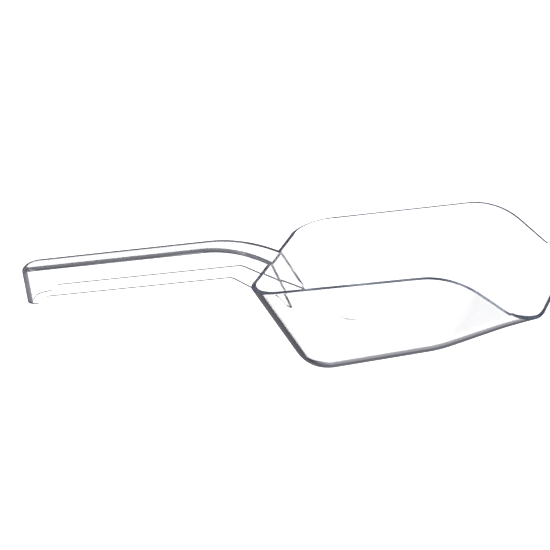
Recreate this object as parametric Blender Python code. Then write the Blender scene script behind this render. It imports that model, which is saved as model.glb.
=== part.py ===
"""Clear bar and cafe ice scoop, one moulding divided into its five named regions.

The scoop rests on the flat underside of its bowl. +X runs from the handle to the lip,
+Y to the left and +Z up. The rim and the handle share a plane that climbs to the rear.
Everything is in metres and degrees.
"""
import math

import bmesh
import bpy
import numpy as np
from mathutils import Matrix, Vector

# ---- bowl: driving dimensions ----
RIM_WIDTH = 0.1126         # outside width at the rim
BOWL_DEPTH = 0.0586        # underside of the floor to the rim, at the rear wall
RIM_SLOPE = 5.1            # the rim drops this much towards the lip
SIDE_DRAFT = 11.0          # lean of the side walls
REAR_DRAFT = 11.6          # lean of the rear wall
RIM_CORNER = 0.0207        # plan radius of the rear corners at the rim
FLOOR_CORNER = 0.0210      # and at the floor
SIDE_FILLET = 0.0096       # floor to side wall
REAR_FILLET = 0.0205       # floor to rear wall
FLOOR_LENGTH = 0.0987      # rear rim to the bend where the floor starts to climb
RAMP_ANGLE = 10.2          # climb of the floor towards the lip
BEND_RADIUS = 0.080        # of the floor where the ramp starts
LIP_REACH = 0.1617         # rear rim to the front edge
LIP_CORNER = 0.0150        # plan radius of the lip's corners
EASE_LENGTH = 0.0300       # last stretch of the ramp, where it levels off again
EASE_RADIUS = 0.2200
LIP_RISE = 0.0014          # height of the rim over the ramp where the side wall dies out
CUT_ANGLE = 53.0           # slope of the side wall's front edge
CUT_REACH = 0.1234         # rear rim to the corner where the front edge would start unrounded
CUT_CREST_RADIUS = 0.0405
CUT_FOOT_RADIUS = 0.0220
BOWL_WALL = 0.0030
LIP_WALL = 0.0022

# ---- handle: driving dimensions, in the rim's plane ----
HANDLE_LENGTH = 0.1629     # rear rim to the end of the handle
HANDLE_TOP = 0.0125        # top face over the rim plane
HANDLE_FOOT = 0.0057       # lower edges under the rim plane
HANDLE_TOP_WIDTH = 0.0172
HANDLE_FOOT_WIDTH = 0.0218
HANDLE_EDGE = 0.0034       # radius of the long top edges
HANDLE_END_CORNER = 0.0082 # plan radius at the end
HANDLE_END_EDGE = 0.0036   # radius from the top face to the end
END_DRAFT = 3.5            # lean of the end plate
HANDLE_WALL = 0.0030
HEEL_DROP = 0.0038         # how far the heel reaches under the lower edges
HEEL_LENGTH = 0.0115
HEEL_RAMP = 0.0050
HEEL_RADIUS = 0.0030
NECK_RADIUS = 0.0800       # arch of the top, which lands on the inner edge of the rear rim
GUSSET_START = 0.0238      # rear rim to where the side walls start to deepen
GUSSET_SLOPE = 33.5
GUSSET_RADIUS = 0.0080
NECK_OVERRUN = 0.0120      # drawn past the rear rim, then cut off at the rear wall

# ---- divisions between the named regions ----
GAP = 0.0003               # clearance between neighbouring solids
LIP_SPLIT = 0.1072         # rear rim to the split between bowl and lip
GRIP_FRONT = 0.0418        # rear rim to the split between neck and grip
GRIP_BACK = 0.1390         # rear rim to the split between grip and end

# ---- fineness of the rounded stretches ----
WALL_ROWS = 2
FILLET_ROWS = 5
CORNER_STEPS = 6
ARC_STEPS = 8
FLAT_SHARE = 0.4           # of a column's length, for its wall rows where the wall runs out
RAMP_SPACING = 0.0025
NECK_SPACING = 0.0030
HEEL_SPACING = 0.0015
MERGE_DISTANCE = 0.000002
SHARP_ANGLE = 35.0
CUTTER_SIZE = 0.2

COLLECTION = "ice_scoop"
CLEAR_PLASTIC = (0.93, 0.95, 0.97, 1.0)
PLASTIC_IOR = 1.585
PLASTIC_ROUGHNESS = 0.03

SLOPE = math.radians(RIM_SLOPE)


def rounded_path(corners, radii, steps):
    """Points along straight runs through 2D corners, each inner corner rounded to its radius."""
    points = [Vector(corners[0])]
    for before, corner, after, radius in zip(corners, corners[1:], corners[2:], radii):
        before, corner, after = Vector(before), Vector(corner), Vector(after)
        run_in = (before - corner).normalized()
        run_out = (after - corner).normalized()
        half_angle = run_in.angle(run_out) / 2
        centre = corner + (run_in + run_out).normalized() * radius / math.sin(half_angle)
        start = corner + run_in * radius / math.tan(half_angle) - centre
        turn = start.angle_signed(corner + run_out * radius / math.tan(half_angle) - centre)
        points += [centre + Matrix.Rotation(-turn * i / steps, 2) @ start for i in range(steps + 1)]
    points.append(Vector(corners[-1]))
    return np.array([tuple(point) for point in points])


def to_world(along, across, up):
    """From the rim's plane, with its origin at the rear rim, to the resting frame."""
    x = along * math.cos(SLOPE) + up * math.sin(SLOPE)
    z = BOWL_DEPTH - along * math.sin(SLOPE) + up * math.cos(SLOPE)
    return x, across, z


class Tub:
    """A drafted, round-cornered tray skin that is closed at one end.

    Its own axes are: reach, towards the closed end; y, across; height, from the floor's
    outer face to the open side.
    """

    def __init__(self, floor, half_width, leans, corner_lean, fillets, end, corner, corner_growth, rim):
        self.floor = floor
        self.half_width = half_width
        self.leans = leans
        self.corner_lean = corner_lean
        self.fillets = fillets
        self.end = end
        self.corner = corner
        self.corner_growth = corner_growth
        self.rim = rim

    def column(self, reach, turn, side, rows):
        """Points and outward normals from the rim down a wall and round its fillet.

        turn is 0 on a side wall and 1 on the end wall; between them it runs round the corner.
        """
        angle = turn * math.pi / 2
        fillet = self.fillets[0] + (self.fillets[1] - self.fillets[0]) * turn
        outward = np.array([math.sin(angle), side * math.cos(angle), 0.0])
        across = self.half_width(reach) - self.corner * (1 - math.cos(angle))
        foot = np.array([reach + self.corner * math.sin(angle), side * across, self.floor(reach)])
        if reach < self.end - self.corner:
            climb = outward * self.leans[0]
        else:
            growth = self.corner_growth
            centre_climb = np.array([self.leans[1] - growth, side * (self.corner_lean - growth), 0.0])
            climb = centre_climb + outward * growth
        draft = math.atan(climb @ outward)
        slip = climb - outward * (climb @ outward)
        return self.rise(foot, outward, draft, slip, fillet, rows)

    def rise(self, foot, outward, draft, slip, fillet, rows):
        """Points and normals of one column: a straight wall that leans out, over a round fillet."""
        up = np.array([0.0, 0.0, 1.0])
        centre = foot + outward * fillet * (math.tan(draft) - 1 / math.cos(draft)) + up * fillet
        tangent_height = fillet * (1 - math.sin(draft))
        height = self.rim(foot - slip * tangent_height, outward * math.tan(draft) + slip)
        wall = max(height - tangent_height, 0.0) / math.cos(draft)
        top_angle = math.pi / 2 - draft
        if height < tangent_height:
            top_angle = math.acos(1 - height / fillet)
        length = wall + fillet * top_angle
        knee = max(wall, FLAT_SHARE * length)
        stops = np.append(np.linspace(0, knee, rows[0] + 1), np.linspace(knee, length, rows[1] + 1)[1:])
        points, normals = [], []
        for stop in stops:
            if stop < wall:
                level = height - stop * math.cos(draft)
                climb = outward * level * math.tan(draft) + slip * (level - tangent_height)
                points.append(foot + climb + up * level)
                normals.append(outward * math.cos(draft) - up * math.sin(draft))
            else:
                angle = top_angle - (stop - wall) / fillet
                normals.append(outward * math.sin(angle) - up * math.cos(angle))
                points.append(centre + normals[-1] * fillet)
        return np.array(points), np.array(normals)


# ---- the bowl's outline ----
FLOOR_CLIMB = math.radians(RAMP_ANGLE)
SIDE_LEAN = math.tan(math.radians(SIDE_DRAFT))
REAR_LEAN = math.tan(math.radians(REAR_DRAFT))
CUT_SLOPE = math.tan(math.radians(CUT_ANGLE))
BEND_START = FLOOR_LENGTH - BEND_RADIUS * math.tan(FLOOR_CLIMB / 2)
EASE_START = LIP_REACH - EASE_LENGTH
CORNER_GROWTH = (RIM_CORNER - FLOOR_CORNER) / BOWL_DEPTH


def floor_tilt(x):
    """Climb angle of the floor: none on the flat, then a bend up, the ramp and an easing down."""
    along_bend = min(max((x - BEND_START) / BEND_RADIUS, 0.0), 1.0)
    if x > EASE_START:
        return FLOOR_CLIMB - (x - EASE_START) / EASE_RADIUS
    return min(math.asin(along_bend), FLOOR_CLIMB)


def floor_height(x):
    """Height of the floor's underside."""
    tilt = floor_tilt(x)
    ramp = (x - FLOOR_LENGTH) * math.tan(FLOOR_CLIMB)
    if x > EASE_START:
        return ramp - (x - EASE_START) ** 2 / (2 * EASE_RADIUS)
    if tilt < FLOOR_CLIMB:
        return BEND_RADIUS * (1 - math.cos(tilt))
    return ramp


def side_edge():
    """The side wall's upper edge seen from the side: rim, front cut and lip."""
    crest_height = BOWL_DEPTH - CUT_REACH * math.tan(SLOPE)
    ramp_gap = crest_height - LIP_RISE - (CUT_REACH - FLOOR_LENGTH) * math.tan(FLOOR_CLIMB)
    foot_x = CUT_REACH + ramp_gap / (CUT_SLOPE + math.tan(FLOOR_CLIMB))
    foot_height = crest_height - (foot_x - CUT_REACH) * CUT_SLOPE
    lip_x = LIP_REACH + CUT_FOOT_RADIUS
    corners = [
        (0.0, BOWL_DEPTH),
        (CUT_REACH, crest_height),
        (foot_x, foot_height),
        (lip_x, floor_height(lip_x) + LIP_RISE),
    ]
    return rounded_path(corners, [CUT_CREST_RADIUS, CUT_FOOT_RADIUS], ARC_STEPS)


EDGE = side_edge()


def bowl_half_width(reach):
    """Outside of the side walls where they would meet the floor's underside."""
    x = -reach
    over_rim = (floor_height(x) - BOWL_DEPTH) * math.cos(SLOPE) + x * math.sin(SLOPE)
    return RIM_WIDTH / 2 + over_rim * SIDE_LEAN


def bowl_rim(foot, climb):
    """Height of the rim over the foot of a wall that moves by climb for each unit of height."""
    x = -foot[0]
    if x > FLOOR_LENGTH / 2:
        return np.interp(x, EDGE[:, 0], EDGE[:, 1]) - foot[2]
    return (BOWL_DEPTH - x * math.tan(SLOPE)) / (1 - climb[0] * math.tan(SLOPE))


BOWL = Tub(
    floor=lambda reach: floor_height(-reach),
    half_width=bowl_half_width,
    leans=(SIDE_LEAN * math.cos(SLOPE), REAR_LEAN),
    corner_lean=SIDE_LEAN * (math.cos(SLOPE) - (REAR_LEAN - CORNER_GROWTH) * math.sin(SLOPE)),
    fillets=(SIDE_FILLET, REAR_FILLET),
    end=-BOWL_DEPTH * REAR_LEAN,
    corner=FLOOR_CORNER,
    corner_growth=CORNER_GROWTH,
    rim=bowl_rim,
)


def bowl_wall(x):
    """Wall thickness, thinning along the ramp towards the lip."""
    along_ramp = np.clip((x - FLOOR_LENGTH) / (LIP_REACH - FLOOR_LENGTH), 0.0, 1.0)
    return BOWL_WALL + (LIP_WALL - BOWL_WALL) * along_ramp


def bowl_to_world(points, normals, inside):
    """Places a column of the bowl, on its outer or its inner skin."""
    placed = []
    for (reach, across, height), normal in zip(points, normals):
        x = -reach
        tilt = floor_tilt(x)
        outward = np.array([-normal[0] - normal[2] * math.sin(tilt), normal[1], normal[2] * math.cos(tilt)])
        point = np.array([x, across, height])
        placed.append(point - outward * bowl_wall(x) if inside else point)
    return placed


def lip_column(angle, side, rows):
    """Points and normals from the lip's rounded corner back to the flat of the floor."""
    joint = LIP_REACH - LIP_CORNER
    side_column = BOWL.column(-joint, 0.0, side, rows)[0]
    edge = side_column[0][1] * side
    core = side_column[-1][1] * side
    rim_x = joint + LIP_CORNER * math.sin(angle)
    rim_y = edge - LIP_CORNER * (1 - math.cos(angle))
    points, normals = [], []
    for share in np.linspace(0, 1, rows[0] + rows[1] + 1):
        x = rim_x + (joint - rim_x) * share
        y = rim_y + (core - rim_y) * share
        lean = math.asin(max(y - core, 0.0) / SIDE_FILLET)
        points.append((-x, side * y, floor_height(x) + SIDE_FILLET * (1 - math.cos(lean))))
        normals.append(np.array([0.0, side * math.sin(lean), -math.cos(lean)]))
    return points, normals


# ---- the handle's outline ----
HANDLE_DEPTH = HANDLE_TOP + HANDLE_FOOT
REAR_REACH = HANDLE_LENGTH * math.cos(SLOPE) + (HANDLE_FOOT + HEEL_DROP) * math.sin(SLOPE)
HANDLE_LEAN = (HANDLE_FOOT_WIDTH - HANDLE_TOP_WIDTH) / 2 / HANDLE_DEPTH
END_LEAN = math.tan(math.radians(END_DRAFT))
NECK_REACH = math.sqrt(NECK_RADIUS ** 2 - (NECK_RADIUS - HANDLE_TOP) ** 2) - BOWL_WALL


def handle_drop(reach):
    """How far the top has come down at a distance behind the rear rim."""
    if reach >= NECK_REACH:
        return 0.0
    return NECK_RADIUS - math.sqrt(NECK_RADIUS ** 2 - (NECK_REACH - reach) ** 2)


def handle_edge():
    """Lower edges of the handle's side walls, as distance and depth under the top face."""
    heel = HANDLE_DEPTH + HEEL_DROP
    gusset_drop = (GUSSET_START + NECK_OVERRUN) * math.tan(math.radians(GUSSET_SLOPE))
    corners = [
        (-NECK_OVERRUN, HANDLE_DEPTH + gusset_drop),
        (GUSSET_START, HANDLE_DEPTH),
        (HANDLE_LENGTH - HEEL_LENGTH - HEEL_RAMP, HANDLE_DEPTH),
        (HANDLE_LENGTH - HEEL_LENGTH, heel),
        (HANDLE_LENGTH + HEEL_RAMP, heel),
    ]
    return rounded_path(corners, [GUSSET_RADIUS, HEEL_RADIUS, HEEL_RADIUS], ARC_STEPS)


LOWER_EDGE = handle_edge()

HANDLE = Tub(
    floor=handle_drop,
    half_width=lambda reach: HANDLE_TOP_WIDTH / 2 + handle_drop(reach) * HANDLE_LEAN,
    leans=(HANDLE_LEAN, END_LEAN),
    corner_lean=HANDLE_LEAN,
    fillets=(HANDLE_EDGE, HANDLE_END_EDGE),
    end=HANDLE_LENGTH - (HANDLE_DEPTH + HEEL_DROP) * END_LEAN,
    corner=HANDLE_END_CORNER,
    corner_growth=HANDLE_LEAN / 2,
    rim=lambda foot, climb: np.interp(foot[0], LOWER_EDGE[:, 0], LOWER_EDGE[:, 1]) - foot[2],
)


def handle_to_world(points, normals, inside):
    """Places a column of the handle, on its outer or its inner skin."""
    placed = []
    for (reach, across, depth), normal in zip(points, normals):
        arch = math.asin(max(NECK_REACH - reach, 0.0) / NECK_RADIUS)
        outward = np.array([
            normal[0] + normal[2] * math.sin(arch),
            normal[1],
            normal[2] * math.cos(arch),
        ])
        point = np.array([reach, across, depth])
        if inside:
            point = point - outward * HANDLE_WALL
        placed.append(np.array(to_world(-point[0], point[1], HANDLE_TOP - point[2])))
    return placed


# ---- solids ----
def add_solid(name, place, stations, turning, parts):
    """One closed shell from pairs of left and right columns, and the columns that close its end."""
    mesh = bmesh.new()

    def skins(column):
        return [[mesh.verts.new(point) for point in place(*column, inside)] for inside in (False, True)]

    left = [skins(column) for column, _ in stations]
    right = [skins(column) for _, column in stations]
    around = [skins(column) for column in turning]

    def strip(first, second):
        for skin in (0, 1):
            for a, b, c, d in zip(first[skin], first[skin][1:], second[skin][1:], second[skin]):
                mesh.faces.new((a, b, c, d))
        mesh.faces.new((first[0][0], second[0][0], second[1][0], first[1][0]))

    def section(one, other):
        outer = one[0] + other[0][::-1]
        inner = one[1] + other[1][::-1]
        for a, b, c, d in zip(outer, outer[1:], inner[1:], inner):
            mesh.faces.new((a, b, c, d))

    for side in (left, right):
        for first, second in zip(side, side[1:]):
            strip(first, second)
    for skin in (0, 1):
        for index in range(len(stations) - 1):
            corners = (left[index], right[index], right[index + 1], left[index + 1])
            mesh.faces.new([corner[skin][-1] for corner in corners])
    section(left[0], right[0])
    if around:
        loop = [left[-1]] + around + [right[-1]]
        for first, second in zip(loop, loop[1:]):
            strip(first, second)
        for skin in (0, 1):
            mesh.faces.new([column[skin][-1] for column in loop])
    else:
        section(left[-1], right[-1])

    bmesh.ops.remove_doubles(mesh, verts=mesh.verts, dist=MERGE_DISTANCE)
    bmesh.ops.dissolve_degenerate(mesh, edges=mesh.edges, dist=MERGE_DISTANCE)
    bmesh.ops.recalc_face_normals(mesh, faces=mesh.faces)
    data = bpy.data.meshes.new(name)
    mesh.to_mesh(data)
    mesh.free()
    data.shade_smooth()
    data.set_sharp_from_angle(angle=math.radians(SHARP_ANGLE))
    solid = bpy.data.objects.new(name, data)
    parts.objects.link(solid)
    data.materials.append(clear_plastic(name))
    return solid


def clear_plastic(name):
    """Water-clear, glossy polycarbonate."""
    material = bpy.data.materials.new(name + "_plastic")
    material.use_nodes = True
    shader = material.node_tree.nodes["Principled BSDF"]
    shader.inputs["Base Color"].default_value = CLEAR_PLASTIC
    shader.inputs["Roughness"].default_value = PLASTIC_ROUGHNESS
    shader.inputs["Metallic"].default_value = 0.0
    shader.inputs["IOR"].default_value = PLASTIC_IOR
    shader.inputs["Transmission Weight"].default_value = 1.0
    material.diffuse_color = CLEAR_PLASTIC
    return material


def stations(tub, reaches, rows):
    """A left and a right column at each reach."""
    return [tuple(tub.column(reach, 0.0, side, rows) for side in (1, -1)) for reach in reaches]


def spread(start, end, longest):
    """Evenly spaced places from start to end, no further apart than longest."""
    return np.linspace(start, end, max(2, math.ceil(abs(end - start) / longest) + 1))


def corner_turns():
    return [step / CORNER_STEPS for step in range(1, CORNER_STEPS + 1)]


def closed_end(tub, rows):
    """The columns that run round the corners of the closed end, from left to right."""
    start = tub.end - tub.corner
    left = [tub.column(start, turn, 1, rows) for turn in corner_turns()]
    right = [tub.column(start, turn, -1, rows) for turn in reversed(corner_turns())]
    return left + right


def add_bowl(parts):
    rows = (WALL_ROWS, FILLET_ROWS)
    rear = BOWL.end - BOWL.corner
    bend = -BEND_START
    split = -LIP_SPLIT + GAP / 2
    reaches = np.concatenate([spread(split, bend, RAMP_SPACING), [(bend + rear) / 2, rear]])
    add_solid("bowl", bowl_to_world, stations(BOWL, reaches, rows), closed_end(BOWL, rows), parts)


def add_lip(parts):
    rows = (WALL_ROWS, FILLET_ROWS)
    reaches = spread(-LIP_SPLIT - GAP / 2, LIP_CORNER - LIP_REACH, RAMP_SPACING)
    angles = [turn * math.pi / 2 for turn in corner_turns()]
    left = [lip_column(angle, 1, rows) for angle in angles]
    right = [lip_column(angle, -1, rows) for angle in reversed(angles)]
    add_solid("scooping_lip", bowl_to_world, stations(BOWL, reaches, rows), left + right, parts)


def add_handle(parts, cutters):
    rows = (1, FILLET_ROWS - 1)
    neck = spread(-NECK_OVERRUN, GRIP_FRONT - GAP / 2, NECK_SPACING)
    grip = [GRIP_FRONT + GAP / 2, GRIP_BACK - GAP / 2]
    heel_start = HANDLE_LENGTH - HEEL_LENGTH - 2 * HEEL_RAMP
    end = np.append(GRIP_BACK + GAP / 2, spread(heel_start, HANDLE.end - HANDLE.corner, HEEL_SPACING))
    neck_solid = add_solid("handle_neck", handle_to_world, stations(HANDLE, neck, rows), [], parts)
    cut_at_rear_wall(neck_solid, cutters)
    add_solid("handle_grip", handle_to_world, stations(HANDLE, grip, rows), [], parts)
    around = closed_end(HANDLE, rows)
    add_solid("handle_end", handle_to_world, stations(HANDLE, end, rows), around, parts)


def cut_at_rear_wall(solid, cutters):
    """Ends a solid just behind the leaning rear wall of the bowl."""
    bpy.ops.mesh.primitive_cube_add(size=CUTTER_SIZE)
    cutter = bpy.context.object
    cutter.name = "rear_wall_cutter"
    for collection in list(cutter.users_collection):
        collection.objects.unlink(cutter)
    cutters.objects.link(cutter)
    cutter.display_type = "WIRE"
    cutter.hide_render = True
    lean = math.radians(REAR_DRAFT)
    rim_point = Vector((0.0, 0.0, BOWL_DEPTH))
    forward = Vector((math.cos(lean), 0.0, math.sin(lean)))
    cutter.rotation_euler[1] = -lean
    cutter.location = rim_point + forward * (CUTTER_SIZE / 2 - GAP)
    cut = solid.modifiers.new("behind rear wall", "BOOLEAN")
    cut.operation = "DIFFERENCE"
    cut.solver = "EXACT"
    cut.object = cutter


def new_collection(name):
    collection = bpy.data.collections.new(name)
    bpy.context.scene.collection.children.link(collection)
    return collection


def main():
    for old in list(bpy.data.objects):
        bpy.data.objects.remove(old)
    parts = new_collection(COLLECTION)
    cutters = new_collection("cutters")
    add_bowl(parts)
    add_lip(parts)
    add_handle(parts, cutters)
    centre = bpy.data.objects.new("scoop_centre", None)
    parts.objects.link(centre)
    for solid in list(parts.objects) + list(cutters.objects):
        if solid is not centre:
            solid.parent = centre
    centre.location[0] = (REAR_REACH - LIP_REACH) / 2


main()
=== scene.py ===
import math

import bmesh
import bpy
import numpy as np
from mathutils import Matrix, Vector


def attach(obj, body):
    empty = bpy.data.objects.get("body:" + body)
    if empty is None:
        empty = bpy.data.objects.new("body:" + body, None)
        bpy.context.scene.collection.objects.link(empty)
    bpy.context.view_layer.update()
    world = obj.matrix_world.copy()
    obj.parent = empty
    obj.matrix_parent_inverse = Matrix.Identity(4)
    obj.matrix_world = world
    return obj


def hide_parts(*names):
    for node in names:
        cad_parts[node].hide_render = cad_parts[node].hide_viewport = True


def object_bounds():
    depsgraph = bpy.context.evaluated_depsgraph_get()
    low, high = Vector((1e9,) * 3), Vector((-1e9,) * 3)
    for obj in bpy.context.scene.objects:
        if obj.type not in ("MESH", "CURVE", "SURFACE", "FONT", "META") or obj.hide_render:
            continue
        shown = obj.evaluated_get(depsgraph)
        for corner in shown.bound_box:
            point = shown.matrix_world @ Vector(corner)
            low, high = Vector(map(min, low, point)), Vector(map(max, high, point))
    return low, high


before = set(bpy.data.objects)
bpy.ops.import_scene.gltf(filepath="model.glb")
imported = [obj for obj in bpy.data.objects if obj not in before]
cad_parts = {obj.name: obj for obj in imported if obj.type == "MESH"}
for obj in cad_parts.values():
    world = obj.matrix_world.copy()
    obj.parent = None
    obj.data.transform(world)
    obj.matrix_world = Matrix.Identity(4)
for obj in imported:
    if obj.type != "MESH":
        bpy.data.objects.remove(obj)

# The real scoop is one clear moulding with no seams, so one continuous skin stands for all of
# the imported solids. +X runs from the handle to the lip, +Y to the left and +Z up. Lengths are
# in metres and angles in degrees. The handle's top is parallel to the rim, and both climb to
# the rear.
CAD_LOW, CAD_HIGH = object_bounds()

# ---- bowl ----
RIM_WIDTH = CAD_HIGH.y - CAD_LOW.y
BOWL_DEPTH = 0.0586        # underside of the floor to the rim, at the rear wall
RIM_SLOPE = 5.1            # the rim drops this much towards the lip
SIDE_DRAFT = 11.0
REAR_DRAFT = 11.6
RIM_CORNER = 0.0207        # plan radius of the rear corners at the rim
FLOOR_CORNER = 0.0210      # and at the floor
SIDE_FILLET = 0.0096       # floor to side wall
REAR_FILLET = 0.0205       # floor to rear wall
FLOOR_LENGTH = 0.0987      # rear rim to the bend where the floor starts to climb
RAMP_ANGLE = 10.2
BEND_RADIUS = 0.080
LIP_REACH = 0.1617         # rear rim to the front edge
LIP_CORNER = 0.0150        # plan radius where the side edges turn into the front edge
EASE_LENGTH = 0.0300       # last stretch of the ramp, where it levels off again
EASE_RADIUS = 0.2200
LIP_RISE = 0.0014          # height of the rim over the ramp where the side wall dies out
CUT_ANGLE = 53.0           # slope of the side wall's front edge
CUT_REACH = 0.1234         # rear rim to where the rim's line meets the cut's
CUT_CREST_RADIUS = 0.0405
CUT_FOOT_RADIUS = 0.0220
BOWL_WALL = 0.0030
LIP_WALL = 0.0022          # the wall thins along the ramp to this

# ---- handle ----
HANDLE_LENGTH = 0.1629     # behind the rear rim, along the handle
HANDLE_TOP = 0.0125        # top face over the rim plane
HANDLE_FOOT = 0.0057       # lower edges under the rim plane
HANDLE_TOP_WIDTH = 0.0172
HANDLE_FOOT_WIDTH = 0.0218
HANDLE_EDGE = 0.0034       # rounding of the top's long edges
HANDLE_END_CORNER = 0.0082 # plan radius of the rear end
HANDLE_END_EDGE = 0.0036   # rounding of the top's rear edge
END_DRAFT = 3.5
HANDLE_WALL = 0.0030
HEEL_DROP = 0.0038         # extra depth at the rear end
HEEL_LENGTH = 0.0115
HEEL_RAMP = 0.0050
HEEL_RADIUS = 0.0030
NECK_RADIUS = 0.0800       # of the arch that brings the top down to the rim
GUSSET_START = 0.0238      # behind the rear rim, where the lower edges start to drop
GUSSET_SLOPE = 33.5
GUSSET_RADIUS = 0.0080
NECK_OVERRUN = 0.0120      # length of neck made past the rear rim, before it is cut off
NECK_SINK = 0.9            # share of the rear wall that the neck runs into

# ---- rounding and fineness of the skin ----
BEAD = 0.00012             # radius of the moulding's free edges
LIP_BEAD = 0.0009          # and of the scooping lip's front
BEAD_LIMIT = 2.2           # a bead is never more than the wall divided by this
LIP_ROWS = (1.2, 1.4)      # first rows behind the lip's front, in bead radii
EDGE_LEVELLING = 0.5       # free edges: 0 is square with their wall, 1 is level with the rim
LEVELLED_TILT = 0.75       # a wall that leans more than this isn't levelled
LEVELLING_FADE = 0.35      # change of lean over which levelling comes in
SLIDING_ROWS = 3           # of the inner skin, from the free edge down
SLIDE_LIMIT = 0.8          # share of the next gap between rows that they may use up
FLAT_RIM = 0.0008          # flat border between a fillet and a flat face
BORDER_SHARE = 1 / 3       # of a low wall that the border may take
BORDER_ROWS = (0.5, 0.6)   # least distance of the two rows behind a bead, in border widths
FILLET_ROWS = 14
BEAD_ROWS = 4
CORNER_STEPS = 22
TURNS = [step / CORNER_STEPS for step in range(1, CORNER_STEPS + 1)]
ARC_STEPS = 24
BOWL_SPACING = 0.0012      # between sections where the shape bends
HANDLE_SPACING = 0.0010
STRAIGHT_SPACING = 0.012   # and where it is straight
SAME_PLACE = 0.000001      # points nearer than this are one
SHARP_ANGLE = 40.0
MM = 1000.0

SLOPE = math.radians(RIM_SLOPE)
SHIFT = CAD_HIGH.x - LIP_REACH


def rounded_path(corners, radii, steps):
    """Points along straight runs through 2D corners, each inner corner rounded to its radius."""
    points = [Vector(corners[0])]
    for before, corner, after, radius in zip(corners, corners[1:], corners[2:], radii):
        before, corner, after = Vector(before), Vector(corner), Vector(after)
        run_in = (before - corner).normalized()
        run_out = (after - corner).normalized()
        half_angle = run_in.angle(run_out) / 2
        centre = corner + (run_in + run_out).normalized() * radius / math.sin(half_angle)
        start = corner + run_in * radius / math.tan(half_angle) - centre
        turn = start.angle_signed(corner + run_out * radius / math.tan(half_angle) - centre)
        points += [centre + Matrix.Rotation(-turn * i / steps, 2) @ start for i in range(steps + 1)]
    points.append(Vector(corners[-1]))
    return np.array([tuple(point) for point in points])


class Tub:
    """A drafted, round-cornered tray skin that is closed at one end.

    Its own axes are: reach, towards the closed end; y, across; height, from the floor's
    outer face to the open side. Pairs are for the side walls and the end wall. Leans are
    sideways movement for each unit of height.
    """

    def __init__(self, floor, half_width, leans, corner_lean, fillets, end, corner, corner_growth, rim):
        self.floor = floor
        self.half_width = half_width
        self.leans = leans
        self.corner_lean = corner_lean
        self.fillets = fillets
        self.end = end
        self.corner = corner
        self.corner_growth = corner_growth
        self.rim = rim

    def column(self, reach, turn, side):
        """Points and outward normals from the rim down a wall, round its fillet and onto the floor.

        turn is 0 on a side wall and 1 on the end wall; between them it runs round the corner.
        """
        angle = turn * math.pi / 2
        fillet = self.fillets[0] + (self.fillets[1] - self.fillets[0]) * turn
        outward = np.array([math.sin(angle), side * math.cos(angle), 0.0])
        across = self.half_width(reach) - self.corner * (1 - math.cos(angle))
        foot = np.array([reach + self.corner * math.sin(angle), side * across, self.floor(reach)])
        if reach < self.end - self.corner:
            climb = outward * self.leans[0]
        else:
            growth = self.corner_growth
            centre_climb = np.array([self.leans[1] - growth, side * (self.corner_lean - growth), 0.0])
            climb = centre_climb + outward * growth
        draft = math.atan(climb @ outward)
        slip = climb - outward * (climb @ outward)
        return self.rise(foot, outward, draft, slip, fillet)

    def rise(self, foot, outward, draft, slip, fillet):
        """One column: a straight wall that leans out, a round fillet and a short flat border."""
        up = np.array([0.0, 0.0, 1.0])
        centre = foot + outward * fillet * (math.tan(draft) - 1 / math.cos(draft)) + up * fillet
        tangent_height = fillet * (1 - math.sin(draft))
        height = self.rim(foot - slip * tangent_height, outward * math.tan(draft) + slip)
        wall = max(height - tangent_height, 0.0) / math.cos(draft)
        top_angle = math.pi / 2 - draft
        if height < tangent_height:
            top_angle = math.acos(1 - height / fillet)
        length = wall + fillet * top_angle
        knee = max(wall, BEAD)
        round_stops = knee + (length - knee) * np.linspace(0, 1, FILLET_ROWS + 1)
        border = min(FLAT_RIM, wall * BORDER_SHARE)
        stops = [0.0, min(BEAD, knee)]
        if wall > BEAD:
            least = [BEAD + border * share for share in BORDER_ROWS]
            stops += [least[0], max(knee - border, least[1])]
        else:
            stops += [knee, knee]
        points, normals = [], []
        for stop in np.append(stops, round_stops):
            if stop < wall:
                level = height - stop * math.cos(draft)
                climb = outward * level * math.tan(draft) + slip * (level - tangent_height)
                points.append(foot + climb + up * level)
                normals.append(outward * math.cos(draft) - up * math.sin(draft))
            else:
                angle = top_angle - (stop - wall) / fillet
                normals.append(outward * math.sin(angle) - up * math.cos(angle))
                points.append(centre + normals[-1] * fillet)
        points.append(points[-1] - outward * FLAT_RIM)
        normals.append(normals[-1])
        return np.array(points), np.array(normals)


# ---- the bowl's outline ----
FLOOR_CLIMB = math.radians(RAMP_ANGLE)
SIDE_LEAN = math.tan(math.radians(SIDE_DRAFT))
REAR_LEAN = math.tan(math.radians(REAR_DRAFT))
CUT_SLOPE = math.tan(math.radians(CUT_ANGLE))
BEND_START = FLOOR_LENGTH - BEND_RADIUS * math.tan(FLOOR_CLIMB / 2)
EASE_START = LIP_REACH - EASE_LENGTH
CORNER_GROWTH = (RIM_CORNER - FLOOR_CORNER) / BOWL_DEPTH


def floor_tilt(x):
    """Climb angle of the floor: none on the flat, then a bend up, the ramp and an easing down."""
    along_bend = min(max((x - BEND_START) / BEND_RADIUS, 0.0), 1.0)
    if x > EASE_START:
        return FLOOR_CLIMB - (x - EASE_START) / EASE_RADIUS
    return min(math.asin(along_bend), FLOOR_CLIMB)


def floor_height(x):
    """Height of the floor's underside."""
    tilt = floor_tilt(x)
    ramp = (x - FLOOR_LENGTH) * math.tan(FLOOR_CLIMB)
    if x > EASE_START:
        return ramp - (x - EASE_START) ** 2 / (2 * EASE_RADIUS)
    if tilt < FLOOR_CLIMB:
        return BEND_RADIUS * (1 - math.cos(tilt))
    return ramp


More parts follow.
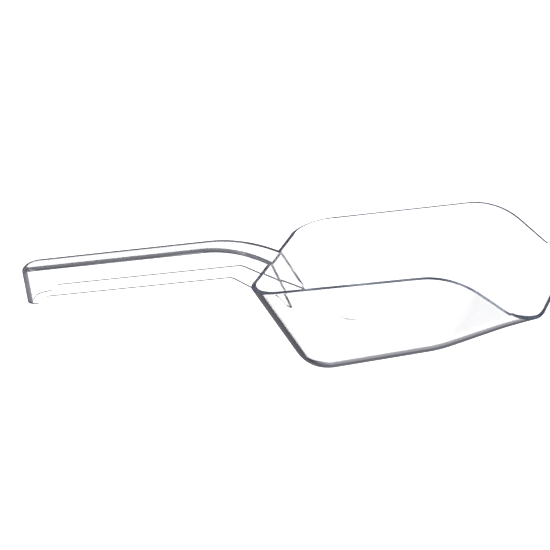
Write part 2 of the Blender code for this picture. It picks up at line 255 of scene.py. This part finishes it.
def side_edge():
    """The side wall's upper edge seen from the side: rim, front cut and lip."""
    crest_height = BOWL_DEPTH - CUT_REACH * math.tan(SLOPE)
    ramp_gap = crest_height - LIP_RISE - (CUT_REACH - FLOOR_LENGTH) * math.tan(FLOOR_CLIMB)
    foot_x = CUT_REACH + ramp_gap / (CUT_SLOPE + math.tan(FLOOR_CLIMB))
    foot_height = crest_height - (foot_x - CUT_REACH) * CUT_SLOPE
    lip_x = LIP_REACH + CUT_FOOT_RADIUS
    corners = [
        (0.0, BOWL_DEPTH),
        (CUT_REACH, crest_height),
        (foot_x, foot_height),
        (lip_x, floor_height(lip_x) + LIP_RISE),
    ]
    return rounded_path(corners, [CUT_CREST_RADIUS, CUT_FOOT_RADIUS], ARC_STEPS)


EDGE = side_edge()


def bowl_half_width(reach):
    """Outside of the side walls where they would meet the floor's underside."""
    x = -reach
    over_rim = (floor_height(x) - BOWL_DEPTH) * math.cos(SLOPE) + x * math.sin(SLOPE)
    return RIM_WIDTH / 2 + over_rim * SIDE_LEAN


def bowl_rim(foot, climb):
    """Height of the rim over the foot of a wall that moves by climb for each unit of height."""
    x = -foot[0]
    if x > FLOOR_LENGTH / 2:
        return np.interp(x, EDGE[:, 0], EDGE[:, 1]) - foot[2]
    return (BOWL_DEPTH - x * math.tan(SLOPE)) / (1 - climb[0] * math.tan(SLOPE))


BOWL = Tub(
    floor=lambda reach: floor_height(-reach),
    half_width=bowl_half_width,
    leans=(SIDE_LEAN * math.cos(SLOPE), REAR_LEAN),
    corner_lean=SIDE_LEAN * (math.cos(SLOPE) - (REAR_LEAN - CORNER_GROWTH) * math.sin(SLOPE)),
    fillets=(SIDE_FILLET, REAR_FILLET),
    end=-BOWL_DEPTH * REAR_LEAN,
    corner=FLOOR_CORNER,
    corner_growth=CORNER_GROWTH,
    rim=bowl_rim,
)


def bowl_wall(x):
    """Wall thickness, thinning along the ramp towards the lip."""
    along_ramp = np.clip((x - FLOOR_LENGTH) / (LIP_REACH - FLOOR_LENGTH), 0.0, 1.0)
    return BOWL_WALL + (LIP_WALL - BOWL_WALL) * along_ramp


def place_bowl(points, normals):
    """A bowl column's outer and inner skins in the resting frame, with their normals."""
    outer, inner, outwards = [], [], []
    for (reach, across, height), normal in zip(points, normals):
        x = -reach
        tilt = floor_tilt(x)
        outward = np.array([-normal[0] - normal[2] * math.sin(tilt), normal[1], normal[2] * math.cos(tilt)])
        outward /= np.linalg.norm(outward)
        point = np.array([x, across, height])
        outer.append(point)
        inner.append(point - outward * bowl_wall(x))
        outwards.append(outward)
    return outer, inner, outwards


def lip_column(angle, side):
    """From the lip's rounded corner, at an angle, back to the flat of the floor."""
    joint = LIP_REACH - LIP_CORNER
    points, normals = BOWL.column(-joint, 0.0, side)
    edge = points[0][1] * side
    core = points[-2][1] * side
    rim_x = joint + LIP_CORNER * math.sin(angle)
    rim_y = edge - LIP_CORNER * (1 - math.cos(angle))
    reach = math.hypot(rim_x - joint, rim_y - core)
    bead = BEAD + (LIP_BEAD - BEAD) * math.sin(angle)
    first, second = (bead * share for share in LIP_ROWS)
    stops = np.append([0.0, bead, first], np.linspace(second, reach, FILLET_ROWS + 2))
    placed, facing = [], []
    for stop in stops:
        share = stop / reach
        x = rim_x + (joint - rim_x) * share
        y = rim_y + (core - rim_y) * share
        lean = math.asin(min(max(y - core, 0.0) / SIDE_FILLET, 1.0))
        placed.append((-x, side * y, floor_height(x) + SIDE_FILLET * (1 - math.cos(lean))))
        facing.append(np.array([0.0, side * math.sin(lean), -math.cos(lean)]))
    placed.append((-joint, side * (core - FLAT_RIM), floor_height(joint)))
    facing.append(np.array([0.0, 0.0, -1.0]))
    return placed, facing


# ---- the handle's outline ----
HANDLE_DEPTH = HANDLE_TOP + HANDLE_FOOT
HANDLE_LEAN = (HANDLE_FOOT_WIDTH - HANDLE_TOP_WIDTH) / 2 / HANDLE_DEPTH
END_LEAN = math.tan(math.radians(END_DRAFT))
NECK_REACH = math.sqrt(NECK_RADIUS ** 2 - (NECK_RADIUS - HANDLE_TOP) ** 2) - BOWL_WALL


def handle_drop(reach):
    """How far the top has come down at a distance behind the rear rim."""
    if reach >= NECK_REACH:
        return 0.0
    return NECK_RADIUS - math.sqrt(NECK_RADIUS ** 2 - (NECK_REACH - reach) ** 2)


def handle_edge():
    """Lower edges of the handle's side walls, as distance and depth under the top face."""
    heel = HANDLE_DEPTH + HEEL_DROP
    gusset_drop = (GUSSET_START + NECK_OVERRUN) * math.tan(math.radians(GUSSET_SLOPE))
    corners = [
        (-NECK_OVERRUN, HANDLE_DEPTH + gusset_drop),
        (GUSSET_START, HANDLE_DEPTH),
        (HANDLE_LENGTH - HEEL_LENGTH - HEEL_RAMP, HANDLE_DEPTH),
        (HANDLE_LENGTH - HEEL_LENGTH, heel),
        (HANDLE_LENGTH + HEEL_RAMP, heel),
    ]
    return rounded_path(corners, [GUSSET_RADIUS, HEEL_RADIUS, HEEL_RADIUS], ARC_STEPS)


LOWER_EDGE = handle_edge()

HANDLE = Tub(
    floor=handle_drop,
    half_width=lambda reach: HANDLE_TOP_WIDTH / 2 + handle_drop(reach) * HANDLE_LEAN,
    leans=(HANDLE_LEAN, END_LEAN),
    corner_lean=HANDLE_LEAN,
    fillets=(HANDLE_EDGE, HANDLE_END_EDGE),
    end=HANDLE_LENGTH - (HANDLE_DEPTH + HEEL_DROP) * END_LEAN,
    corner=HANDLE_END_CORNER,
    corner_growth=HANDLE_LEAN / 2,
    rim=lambda foot, climb: np.interp(foot[0], LOWER_EDGE[:, 0], LOWER_EDGE[:, 1]) - foot[2],
)


def place_handle(points, normals):
    """A handle column's outer and inner skins in the resting frame, with their normals.

    Reach runs to the rear and depth downwards, against the resting frame's x and z.
    """
    to_rest = np.array([
        [math.cos(SLOPE), 0.0, math.sin(SLOPE)],
        [0.0, 1.0, 0.0],
        [-math.sin(SLOPE), 0.0, math.cos(SLOPE)],
    ])
    rim_point = np.array([0.0, 0.0, BOWL_DEPTH])
    outer, inner, outwards = [], [], []
    for (reach, across, depth), normal in zip(points, normals):
        arch = math.asin(max(NECK_REACH - reach, 0.0) / NECK_RADIUS)
        outward = np.array([normal[0] + normal[2] * math.sin(arch), normal[1], normal[2] * math.cos(arch)])
        outward /= np.linalg.norm(outward)
        outward = to_rest @ (outward * (-1, 1, -1))
        point = to_rest @ np.array([-reach, across, HANDLE_TOP - depth]) + rim_point
        outer.append(point)
        inner.append(point - outward * HANDLE_WALL)
        outwards.append(outward)
    return outer, inner, outwards


# ---- skins ----
def level_edge(outer, inner, outward):
    """Slides the first rows of the inner skin to turn a wall's free edge towards the rim's plane."""
    rim_up = np.array([math.sin(SLOPE), 0.0, math.cos(SLOPE)])
    along = (outer[0] - outer[1]) / np.linalg.norm(outer[0] - outer[1])
    tilt = abs(outward @ rim_up)
    room = np.linalg.norm(outer[SLIDING_ROWS] - outer[SLIDING_ROWS - 1])
    slide = ((inner[0] - outer[0]) @ rim_up) / (along @ rim_up)
    upright = np.clip((LEVELLED_TILT - tilt) / LEVELLING_FADE, 0.0, 1.0)
    slide = min(slide, room * SLIDE_LIMIT) * upright * EDGE_LEVELLING
    return [point - along * slide if row < SLIDING_ROWS else point for row, point in enumerate(inner)]


def rounded_corner(before, corner, after, reach):
    """Points that round a corner from before's side to after's, which it leaves at reach."""
    leave = corner + (after - corner) / np.linalg.norm(after - corner) * reach
    shares = np.linspace(0, 1, BEAD_ROWS + 1)[1:]
    return [before * (1 - u) ** 2 + corner * 2 * u * (1 - u) + leave * u ** 2 for u in shares]


def profile(place, column):
    """One section of the wall: floor, outer skin, free edge, inner skin and floor again.

    Its points come with 1 on the free edge, which the material makes rougher and darkens with painted
    shade, and 0 elsewhere.
    """
    outer, inner, outwards = place(*column)
    inner = level_edge(outer, inner, outwards[0])
    bead = min(np.linalg.norm(outer[0] - outer[1]), np.linalg.norm(outer[0] - inner[0]) / BEAD_LIMIT)
    over = rounded_corner(outer[1], outer[0], inner[0], bead)
    back = rounded_corner(inner[1], inner[0], outer[0], bead)
    edge = over + back[::-1]
    points = outer[:0:-1] + edge + inner[1:]
    return list(zip(points, [0] * (len(outer) - 1) + [1] * len(edge) + [0] * (len(inner) - 1)))


def closed_skin(place, sides, turning, front):
    """A closed skin from pairs of side columns, those round its closed end and those at its front."""
    mesh = bmesh.new()
    # the free edges' mask, which the material uses for scuff roughness and for painted shade
    edge_scuff_and_shade = mesh.verts.layers.float.new(EDGE_SCUFF_AND_SHADE)

    def section(column):
        verts = []
        for point, on_edge in profile(place, column):
            verts.append(mesh.verts.new(point))
            verts[-1][edge_scuff_and_shade] = on_edge
        return verts

    left = [section(column) for column, _ in sides]
    right = [section(column) for _, column in sides]
    around = [section(column) for column in turning]
    ahead_left = [section(column) for column, _ in front]
    ahead_right = [section(column) for _, column in front]
    left = ahead_left[::-1] + left
    right = ahead_right[::-1] + right

    def strip(first, second):
        for a, b, c, d in zip(first, first[1:], second[1:], second):
            mesh.faces.new((a, b, c, d))

    for side in (left, right):
        for first, second in zip(side, side[1:]):
            strip(first, second)
    for end in (0, -1):
        rows = [(a[end], b[end]) for a, b in zip(left, right)]
        for (a, b), (d, c) in zip(rows, rows[1:]):
            mesh.faces.new((a, b, c, d))
    if front:
        strip(left[0], right[0])
    else:
        mesh.faces.new(left[0] + right[0][::-1])
    loop = [left[-1]] + around + [right[-1]]
    for first, second in zip(loop, loop[1:]):
        strip(first, second)
    for end in (0, -1):
        mesh.faces.new([column[end] for column in loop])

    bmesh.ops.remove_doubles(mesh, verts=mesh.verts, dist=SAME_PLACE)
    bmesh.ops.dissolve_degenerate(mesh, edges=mesh.edges, dist=SAME_PLACE)
    bmesh.ops.recalc_face_normals(mesh, faces=mesh.faces)
    return mesh


def to_object(mesh, name):
    data = bpy.data.meshes.new(name)
    mesh.to_mesh(data)
    mesh.free()
    skin = bpy.data.objects.new(name, data)
    bpy.context.scene.collection.objects.link(skin)
    return skin


def side_columns(tub, reaches):
    """The left and right walls' columns at each reach."""
    return [tuple(tub.column(reach, 0.0, side) for side in (1, -1)) for reach in reaches]


def closed_end(tub):
    """The columns round a closed end, from the left wall to the right one."""
    start = tub.end - tub.corner
    left = [tub.column(start, turn, 1) for turn in TURNS]
    right = [tub.column(start, turn, -1) for turn in reversed(TURNS)]
    return left + right


def spread(start, end, longest):
    """Evenly spaced places from start to end, no further apart than longest."""
    return np.linspace(start, end, max(2, math.ceil(abs(end - start) / longest) + 1))


def bowl_skin():
    rear = BOWL.end - BOWL.corner
    joint = LIP_CORNER - LIP_REACH
    ramp = spread(joint, -BEND_START, BOWL_SPACING)
    flat = spread(-BEND_START, rear, STRAIGHT_SPACING)
    reaches = np.concatenate([ramp, flat[1:]])
    front = [tuple(lip_column(turn * math.pi / 2, side) for side in (1, -1)) for turn in TURNS]
    return closed_skin(place_bowl, side_columns(BOWL, reaches), closed_end(BOWL), front)


def handle_skin():
    """The handle's skin, cut off flat inside the bowl's rear wall."""
    heel = HANDLE_LENGTH - HEEL_LENGTH - 2 * HEEL_RAMP
    neck = spread(-NECK_OVERRUN, NECK_REACH, HANDLE_SPACING)
    grip = spread(NECK_REACH, heel, STRAIGHT_SPACING)
    end = spread(heel, HANDLE.end - HANDLE.corner, HANDLE_SPACING / 2)
    reaches = np.concatenate([neck, grip[1:], end[1:]])
    mesh = closed_skin(place_handle, side_columns(HANDLE, reaches), closed_end(HANDLE), [])
    lean = math.radians(REAR_DRAFT)
    forward = Vector((math.cos(lean), 0.0, math.sin(lean)))
    within = Vector((0.0, 0.0, BOWL_DEPTH)) + forward * BOWL_WALL * NECK_SINK
    everything = mesh.verts[:] + mesh.edges[:] + mesh.faces[:]
    cut = bmesh.ops.bisect_plane(mesh, geom=everything, plane_co=within, plane_no=forward, clear_outer=True)
    edges = [item for item in cut["geom_cut"] if isinstance(item, bmesh.types.BMEdge)]
    bmesh.ops.holes_fill(mesh, edges=edges, sides=0)
    bmesh.ops.recalc_face_normals(mesh, faces=mesh.faces)
    return mesh


def make_scoop():
    """Joins the handle to the bowl as one skin; the Boolean is only reliable in millimetres."""
    bowl = to_object(bowl_skin(), "bowl_skin")
    handle = to_object(handle_skin(), "handle_skin")
    for skin in (bowl, handle):
        skin.data.transform(Matrix.Scale(MM, 4))
    join = bowl.modifiers.new("handle", "BOOLEAN")
    join.operation = "UNION"
    join.solver = "FAST"
    join.object = handle
    depsgraph = bpy.context.evaluated_depsgraph_get()
    data = bpy.data.meshes.new_from_object(bowl.evaluated_get(depsgraph))
    data.name = "clear_scoop"
    for skin in (bowl, handle):
        bpy.data.objects.remove(skin)
    data.transform(Matrix.Translation((SHIFT, 0.0, 0.0)) @ Matrix.Scale(1 / MM, 4))
    data.shade_smooth()
    data.set_sharp_from_angle(angle=math.radians(SHARP_ANGLE))
    scoop = bpy.data.objects.new("clear_scoop", data)
    bpy.context.scene.collection.objects.link(scoop)
    return scoop


# ---- material ----
POLYCARBONATE_IOR = 1.585
BODY_TINT = (0.45, 0.55, 0.72, 1.0)  # shows only where light runs a long way inside a wall
BODY_DENSITY = 3.0         # per metre
# marks the free edges, which get scuff roughness and painted shade
EDGE_SCUFF_AND_SHADE = "edge_scuff_and_shade"
# painted shade: a darker blue-grey on the free edges, standing in for the dark lines that refraction draws
# along them
EDGE_PAINTED_SHADE = (0.85, 0.88, 0.94, 1.0)
EDGE_ROUGHNESS = 0.12
EVEN = (1.0, 1.0, 1.0)
POLISH_SCALE = 60.0        # features per metre
POLISH_CUT = (0.4, 0.7)    # range of the noise that the polish spans
POLISH = (0.0, 0.012)      # roughness of the moulded faces
HAIRLINE_SCALE = 900.0
HAIRLINE_STRETCH = (0.03, 1.0, 1.0)  # drawn out the way that ice slides
HAIRLINE_CUT = (0.72, 0.80)
HAIRLINE_ROUGHNESS = 0.06
WAVE_SCALE = 45.0
WAVE_HEIGHT = 0.00003


def add_node(tree, kind, **settings):
    node = tree.nodes.new(kind)
    for name, value in settings.items():
        setattr(node, name, value)
    return node


def noise(tree, place, stretch, scale, detail):
    """Noise over a place, whose features are drawn out along the axes with a small stretch."""
    mapping = tree.nodes.new("ShaderNodeMapping")
    mapping.inputs["Scale"].default_value = stretch
    texture = tree.nodes.new("ShaderNodeTexNoise")
    texture.inputs["Scale"].default_value = scale
    texture.inputs["Detail"].default_value = detail
    tree.links.new(place, mapping.inputs["Vector"])
    tree.links.new(mapping.outputs[0], texture.inputs["Vector"])
    return texture.outputs["Fac"]


def remap(tree, value, source, target):
    node = tree.nodes.new("ShaderNodeMapRange")
    node.inputs["From Min"].default_value, node.inputs["From Max"].default_value = source
    node.inputs["To Min"].default_value, node.inputs["To Max"].default_value = target
    tree.links.new(value, node.inputs["Value"])
    return node.outputs["Result"]


def mix_colours(tree, factor):
    """A colour mix led by a factor, as its first and second colours' inputs and its output."""
    node = add_node(tree, "ShaderNodeMix", data_type="RGBA")
    tree.links.new(factor, node.inputs["Factor"])
    first, second = (socket for socket in node.inputs if socket.type == "RGBA")
    mixed, = (socket for socket in node.outputs if socket.type == "RGBA")
    return first, second, mixed


def clear_polycarbonate():
    """Water-clear plastic: moulding waves, hairlines left by ice, a polish that varies a little, and free
    edges that are rougher and darkened with painted shade.
    """
    material = bpy.data.materials.new("clear_polycarbonate")
    material.use_nodes = True
    tree = material.node_tree
    shader = tree.nodes["Principled BSDF"]
    shader.inputs["IOR"].default_value = POLYCARBONATE_IOR
    shader.inputs["Transmission Weight"].default_value = 1.0
    absorption = tree.nodes.new("ShaderNodeVolumeAbsorption")
    absorption.inputs["Color"].default_value = BODY_TINT
    absorption.inputs["Density"].default_value = BODY_DENSITY
    tree.links.new(absorption.outputs["Volume"], tree.nodes["Material Output"].inputs["Volume"])

    place = tree.nodes.new("ShaderNodeTexCoord").outputs["Object"]
    polish = noise(tree, place, EVEN, POLISH_SCALE, detail=2.0)
    polish = remap(tree, polish, POLISH_CUT, POLISH)
    hairlines = noise(tree, place, HAIRLINE_STRETCH, HAIRLINE_SCALE, detail=1.0)
    hairlines = remap(tree, hairlines, HAIRLINE_CUT, (0.0, HAIRLINE_ROUGHNESS))
    rough = add_node(tree, "ShaderNodeMath", operation="MAXIMUM")
    tree.links.new(polish, rough.inputs[0])
    tree.links.new(hairlines, rough.inputs[1])
    # the free edges get rougher, and their colour is darkened with painted shade
    edge_scuff_and_shade = add_node(tree, "ShaderNodeAttribute", attribute_name=EDGE_SCUFF_AND_SHADE).outputs["Fac"]
    satin = add_node(tree, "ShaderNodeMath", operation="MULTIPLY_ADD")
    satin.inputs[1].default_value = EDGE_ROUGHNESS
    tree.links.new(edge_scuff_and_shade, satin.inputs[0])
    tree.links.new(rough.outputs[0], satin.inputs[2])
    tree.links.new(satin.outputs[0], shader.inputs["Roughness"])
    clear, edge_shade_colour, clear_or_shaded = mix_colours(tree, edge_scuff_and_shade)
    clear.default_value = (1.0, 1.0, 1.0, 1.0)
    edge_shade_colour.default_value = EDGE_PAINTED_SHADE
    tree.links.new(clear_or_shaded, shader.inputs["Base Color"])

    waves = tree.nodes.new("ShaderNodeBump")
    waves.inputs["Strength"].default_value = 1.0
    waves.inputs["Distance"].default_value = WAVE_HEIGHT
    tree.links.new(noise(tree, place, EVEN, WAVE_SCALE, detail=0.0), waves.inputs["Height"])
    tree.links.new(waves.outputs["Normal"], shader.inputs["Normal"])
    return material


# ---- stage ----
FLOOR_SIZE = 12.0
FLOOR_GAP = 0.0002         # keeps the floor clear of the scoop's underside
WHITE = 1.75               # over white, so that what is seen straight through stays white
SURROUNDINGS = [           # upward part of a direction, and what lies there, seen by reflection
    (-1.00, (0.46, 0.46, 0.50, 1.0)),
    (-0.85, (0.36, 0.36, 0.40, 1.0)),
    (-0.65, (0.06, 0.06, 0.07, 1.0)),
    (-0.45, (0.12, 0.12, 0.14, 1.0)),
    (-0.25, (0.20, 0.20, 0.23, 1.0)),
    (0.00, (0.36, 0.36, 0.40, 1.0)),
    (0.22, (0.13, 0.13, 0.15, 1.0)),
    (0.42, (0.10, 0.10, 0.12, 1.0)),
    (0.65, (0.14, 0.14, 0.16, 1.0)),
    (0.80, (0.30, 0.30, 0.33, 1.0)),
    (0.92, (1.00, 1.00, 1.00, 1.0)),
]
GUIDED_BOUNCES = 96        # light runs a long way inside a wall before it comes out at an edge
ALL_BOUNCES = 128
CLEAR_PASSES = 32
CAMERA_LENS = 149.98       # mm, on a sensor this wide
CAMERA_SENSOR = 36.0
CAMERA_PLACE = (0.53898, -1.15435, 0.46268)
CAMERA_AIM = (-0.40320659, 0.8611687, -0.30953662)
CAMERA_ROLL = 19.24387


def is_reflected(tree):
    """1 for light that was reflected at least once on its way to the eye, and 0 for the rest."""
    turned = add_node(tree, "ShaderNodeMath", operation="GREATER_THAN")
    turned.inputs[1].default_value = 0.5
    tree.links.new(tree.nodes.new("ShaderNodeLightPath").outputs["Glossy Depth"], turned.inputs[0])
    return turned.outputs[0]


def add_floor():
    """White from above; see-through from below and for light that comes out of the plastic sideways."""
    mesh = bmesh.new()
    bmesh.ops.create_grid(mesh, x_segments=1, y_segments=1, size=FLOOR_SIZE / 2)
    floor = to_object(mesh, "floor")
    floor.location.z = -FLOOR_GAP
    material = bpy.data.materials.new("white_floor")
    material.use_nodes = True
    tree = material.node_tree
    tree.nodes.remove(tree.nodes["Principled BSDF"])
    glow = tree.nodes.new("ShaderNodeEmission")
    glow.inputs["Strength"].default_value = WHITE
    either = add_node(tree, "ShaderNodeMath", operation="MAXIMUM")
    tree.links.new(is_reflected(tree), either.inputs[0])
    tree.links.new(tree.nodes.new("ShaderNodeNewGeometry").outputs["Backfacing"], either.inputs[1])
    mix = tree.nodes.new("ShaderNodeMixShader")
    tree.links.new(either.outputs[0], mix.inputs["Fac"])
    tree.links.new(glow.outputs[0], mix.inputs[1])
    tree.links.new(tree.nodes.new("ShaderNodeBsdfTransparent").outputs[0], mix.inputs[2])
    tree.links.new(mix.outputs[0], tree.nodes["Material Output"].inputs["Surface"])
    floor.data.materials.append(material)


def add_world():
    """Even white, with soft grey bands round the studio that only reflections show."""
    world = bpy.data.worlds.new("studio")
    bpy.context.scene.world = world
    world.use_nodes = True
    tree = world.node_tree
    split = tree.nodes.new("ShaderNodeSeparateXYZ")
    upward = add_node(tree, "ShaderNodeMath", operation="MULTIPLY_ADD")
    upward.inputs[1].default_value = 0.5
    upward.inputs[2].default_value = 0.5
    bands = tree.nodes.new("ShaderNodeValToRGB")
    stops = bands.color_ramp.elements
    while len(stops) < len(SURROUNDINGS):
        stops.new(0.5)
    for stop, (height, colour) in zip(stops, SURROUNDINGS):
        stop.position = (height + 1) / 2
        stop.color = colour
    plain, reflected, mixed = mix_colours(tree, is_reflected(tree))
    plain.default_value = (WHITE, WHITE, WHITE, 1.0)
    tree.links.new(tree.nodes.new("ShaderNodeTexCoord").outputs["Generated"], split.inputs["Vector"])
    tree.links.new(split.outputs["Z"], upward.inputs[0])
    tree.links.new(upward.outputs[0], bands.inputs["Fac"])
    tree.links.new(bands.outputs["Color"], reflected)
    tree.links.new(mixed, tree.nodes["Background"].inputs["Color"])


def add_camera():
    """Looks down on the scoop from its right and ahead, through a long lens, with a roll."""
    camera = bpy.data.objects.new("camera", bpy.data.cameras.new("camera"))
    bpy.context.scene.collection.objects.link(camera)
    camera.data.lens = CAMERA_LENS
    camera.data.sensor_width = CAMERA_SENSOR
    camera.location = CAMERA_PLACE
    level = Vector(CAMERA_AIM).to_track_quat("-Z", "Y").to_matrix()
    camera.rotation_euler = (level @ Matrix.Rotation(math.radians(-CAMERA_ROLL), 3, "Z")).to_euler()
    bpy.context.scene.camera = camera


bpy.context.scene.view_settings.view_transform = "Standard"
cycles = bpy.context.scene.cycles
cycles.glossy_bounces = GUIDED_BOUNCES
cycles.transmission_bounces = GUIDED_BOUNCES
cycles.max_bounces = ALL_BOUNCES
cycles.transparent_max_bounces = CLEAR_PASSES

scoop = make_scoop()
scoop.data.materials.append(clear_polycarbonate())
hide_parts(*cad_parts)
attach(scoop, "root")
add_floor()
add_world()
add_camera()
